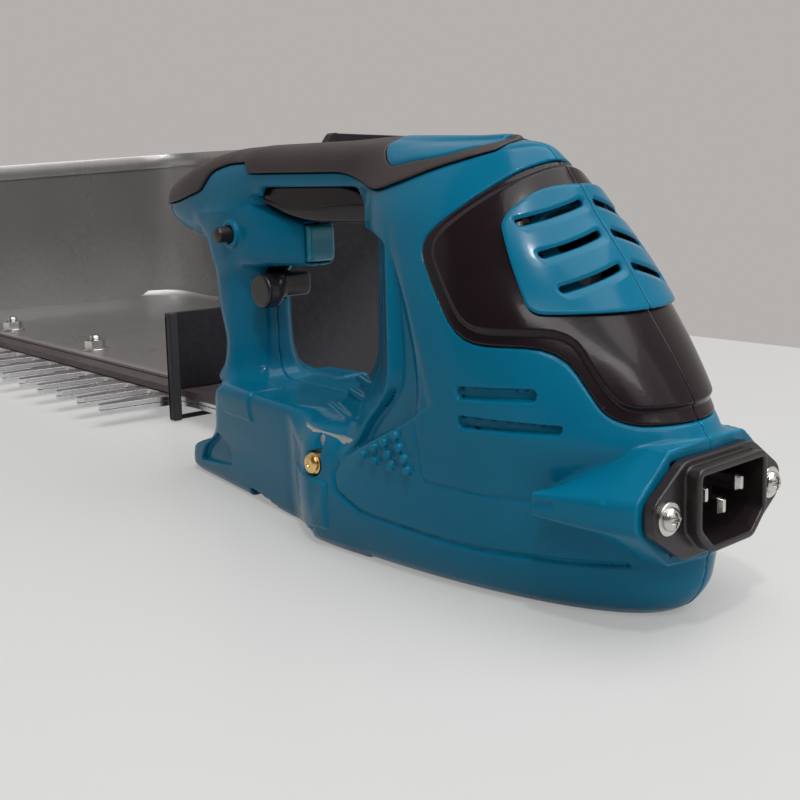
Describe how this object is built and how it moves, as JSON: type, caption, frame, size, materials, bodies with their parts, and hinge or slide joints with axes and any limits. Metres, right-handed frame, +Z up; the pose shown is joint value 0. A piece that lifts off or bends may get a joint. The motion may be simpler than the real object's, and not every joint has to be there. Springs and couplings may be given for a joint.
{
  "type": "electric leaf harvester",
  "caption": "Hand-held electric leaf harvester: a D-handled power body drives two sliding comb blades in front of an open sheet-metal collecting tray.",
  "frame": {"origin": "foot of the drive gear's axis on the sole, on the surface the tool stands on", "axes": "+X forward from the body to the blades, +Y to the tool's left, +Z up"},
  "size_m": [0.5921, 0.2391, 0.1245],
  "materials": {
    "teal_shell": "glossy moulded teal plastic",
    "dark_panel": "glossy dark brown-black plastic",
    "grip_rubber": "matt soft overmoulded rubber",
    "black_plastic": "satin black plastic",
    "steel_parts": "machined steel",
    "blade_steel": "ground bright steel",
    "bar_metal": "dark brown-grey coated steel strip",
    "tray_sheet": "dull rolled sheet",
    "plate_paint": "dark blue-grey coated sheet",
    "brass_parts": "turned brass",
    "cast_metal": "die-cast metal"
  },
  "bodies": {
    "body": {"left_housing": "teal_shell", "right_housing": "teal_shell", "left_rear_panel": "dark_panel", "right_rear_panel": "dark_panel", "left_vent_cover": "teal_shell", "right_vent_cover": "teal_shell", "top_grip": "grip_rubber", "grip_inset": "teal_shell", "inlet_body": "black_plastic", "inlet_pins": "steel_parts", "inlet_washer_left": "steel_parts", "inlet_washer_right": "steel_parts", "inlet_screw_left": "steel_parts", "inlet_screw_right": "steel_parts", "grease_nipple": "brass_parts", "housing_screw_1": "steel_parts", "housing_screw_2": "steel_parts", "housing_screw_3": "steel_parts", "housing_screw_4": "steel_parts", "housing_screw_5": "steel_parts", "gear_case": "cast_metal", "gear_case_cover": "cast_metal", "lower_shaft_bearing": "steel_parts", "upper_shaft_bearing": "steel_parts", "lower_motor_bearing": "steel_parts", "upper_motor_bearing": "steel_parts", "sole_plate": "cast_metal", "blade_bar": "bar_metal", "blade_bolt_1": "steel_parts", "blade_bolt_2": "steel_parts", "blade_bolt_3": "steel_parts", "tray_nut_1": "steel_parts", "tray_nut_2": "steel_parts", "tray_nut_3": "steel_parts", "tray_floor": "tray_sheet", "tray_wall": "tray_sheet", "near_end_plate": "plate_paint", "motor_stator": "cast_metal", "bearing_bracket": "black_plastic", "brush_holder": "brass_parts", "carbon_brush_left": "black_plastic", "carbon_brush_right": "black_plastic", "lever_pin": "steel_parts", "lever_spring": "steel_parts", "switch_body": "black_plastic", "lock_off_pin": "steel_parts"},
    "gear": {"drive_gear": "steel_parts", "cam_shaft": "steel_parts"},
    "rotor": {"armature": "steel_parts", "cooling_fan": "black_plastic", "pinion": "steel_parts"},
    "upper_blade": {"upper_blade": "blade_steel"},
    "lower_blade": {"lower_blade": "blade_steel"},
    "squeeze_lever": {"squeeze_lever": "dark_panel"},
    "trigger": {"trigger": "teal_shell"},
    "lock_button": {"lock_button": "black_plastic"},
    "lock_off_lever": {"lock_off_lever": "black_plastic"}
  },
  "joints": [
    {"name": "gear_spin", "type": "hinge", "parent": "body", "child": "gear", "pos_m": [0, 0, 0.022], "axis": [0, 0, 1], "continuous": true},
    {"name": "armature_spin", "type": "hinge", "parent": "body", "child": "rotor", "pos_m": [-0.036, 0, 0.06], "axis": [0, 0, 1], "continuous": true},
    {"name": "upper_blade_slide", "type": "slide", "parent": "body", "child": "upper_blade", "axis": [1, 0, 0], "range_m": [-0.005, 0.005]},
    {"name": "lower_blade_slide", "type": "slide", "parent": "body", "child": "lower_blade", "axis": [1, 0, 0], "range_m": [-0.005, 0.005]},
    {"name": "lever_squeeze", "type": "hinge", "parent": "body", "child": "squeeze_lever", "pos_m": [0.074, 0, 0.0975], "axis": [0, 1, 0], "range_deg": [0, 4], "stiffness_Nm_per_rad": 2, "springref_deg": -2.86, "deforming": ["lever_spring"]},
    {"name": "trigger_press", "type": "slide", "parent": "body", "child": "trigger", "axis": [1, 0, 0], "range_m": [0, 0.004], "stiffness_N_per_m": 500, "springref_m": -0.001},
    {"name": "lock_button_press", "type": "slide", "parent": "body", "child": "lock_button", "axis": [0, -1, 0], "range_m": [0, 0.002], "stiffness_N_per_m": 500, "springref_m": -0.001},
    {"name": "lock_off_swing", "type": "hinge", "parent": "body", "child": "lock_off_lever", "pos_m": [0.082, 0, 0.07], "axis": [0, 1, 0], "range_deg": [-20, 0], "stiffness_Nm_per_rad": 0.05, "springref_deg": 5.73}
  ],
  "couplings": [
    {"joint": "armature_spin", "follows": "gear_spin", "ratio": -4},
    {"joint": "lower_blade_slide", "follows": "upper_blade_slide", "ratio": -1}
  ]
}
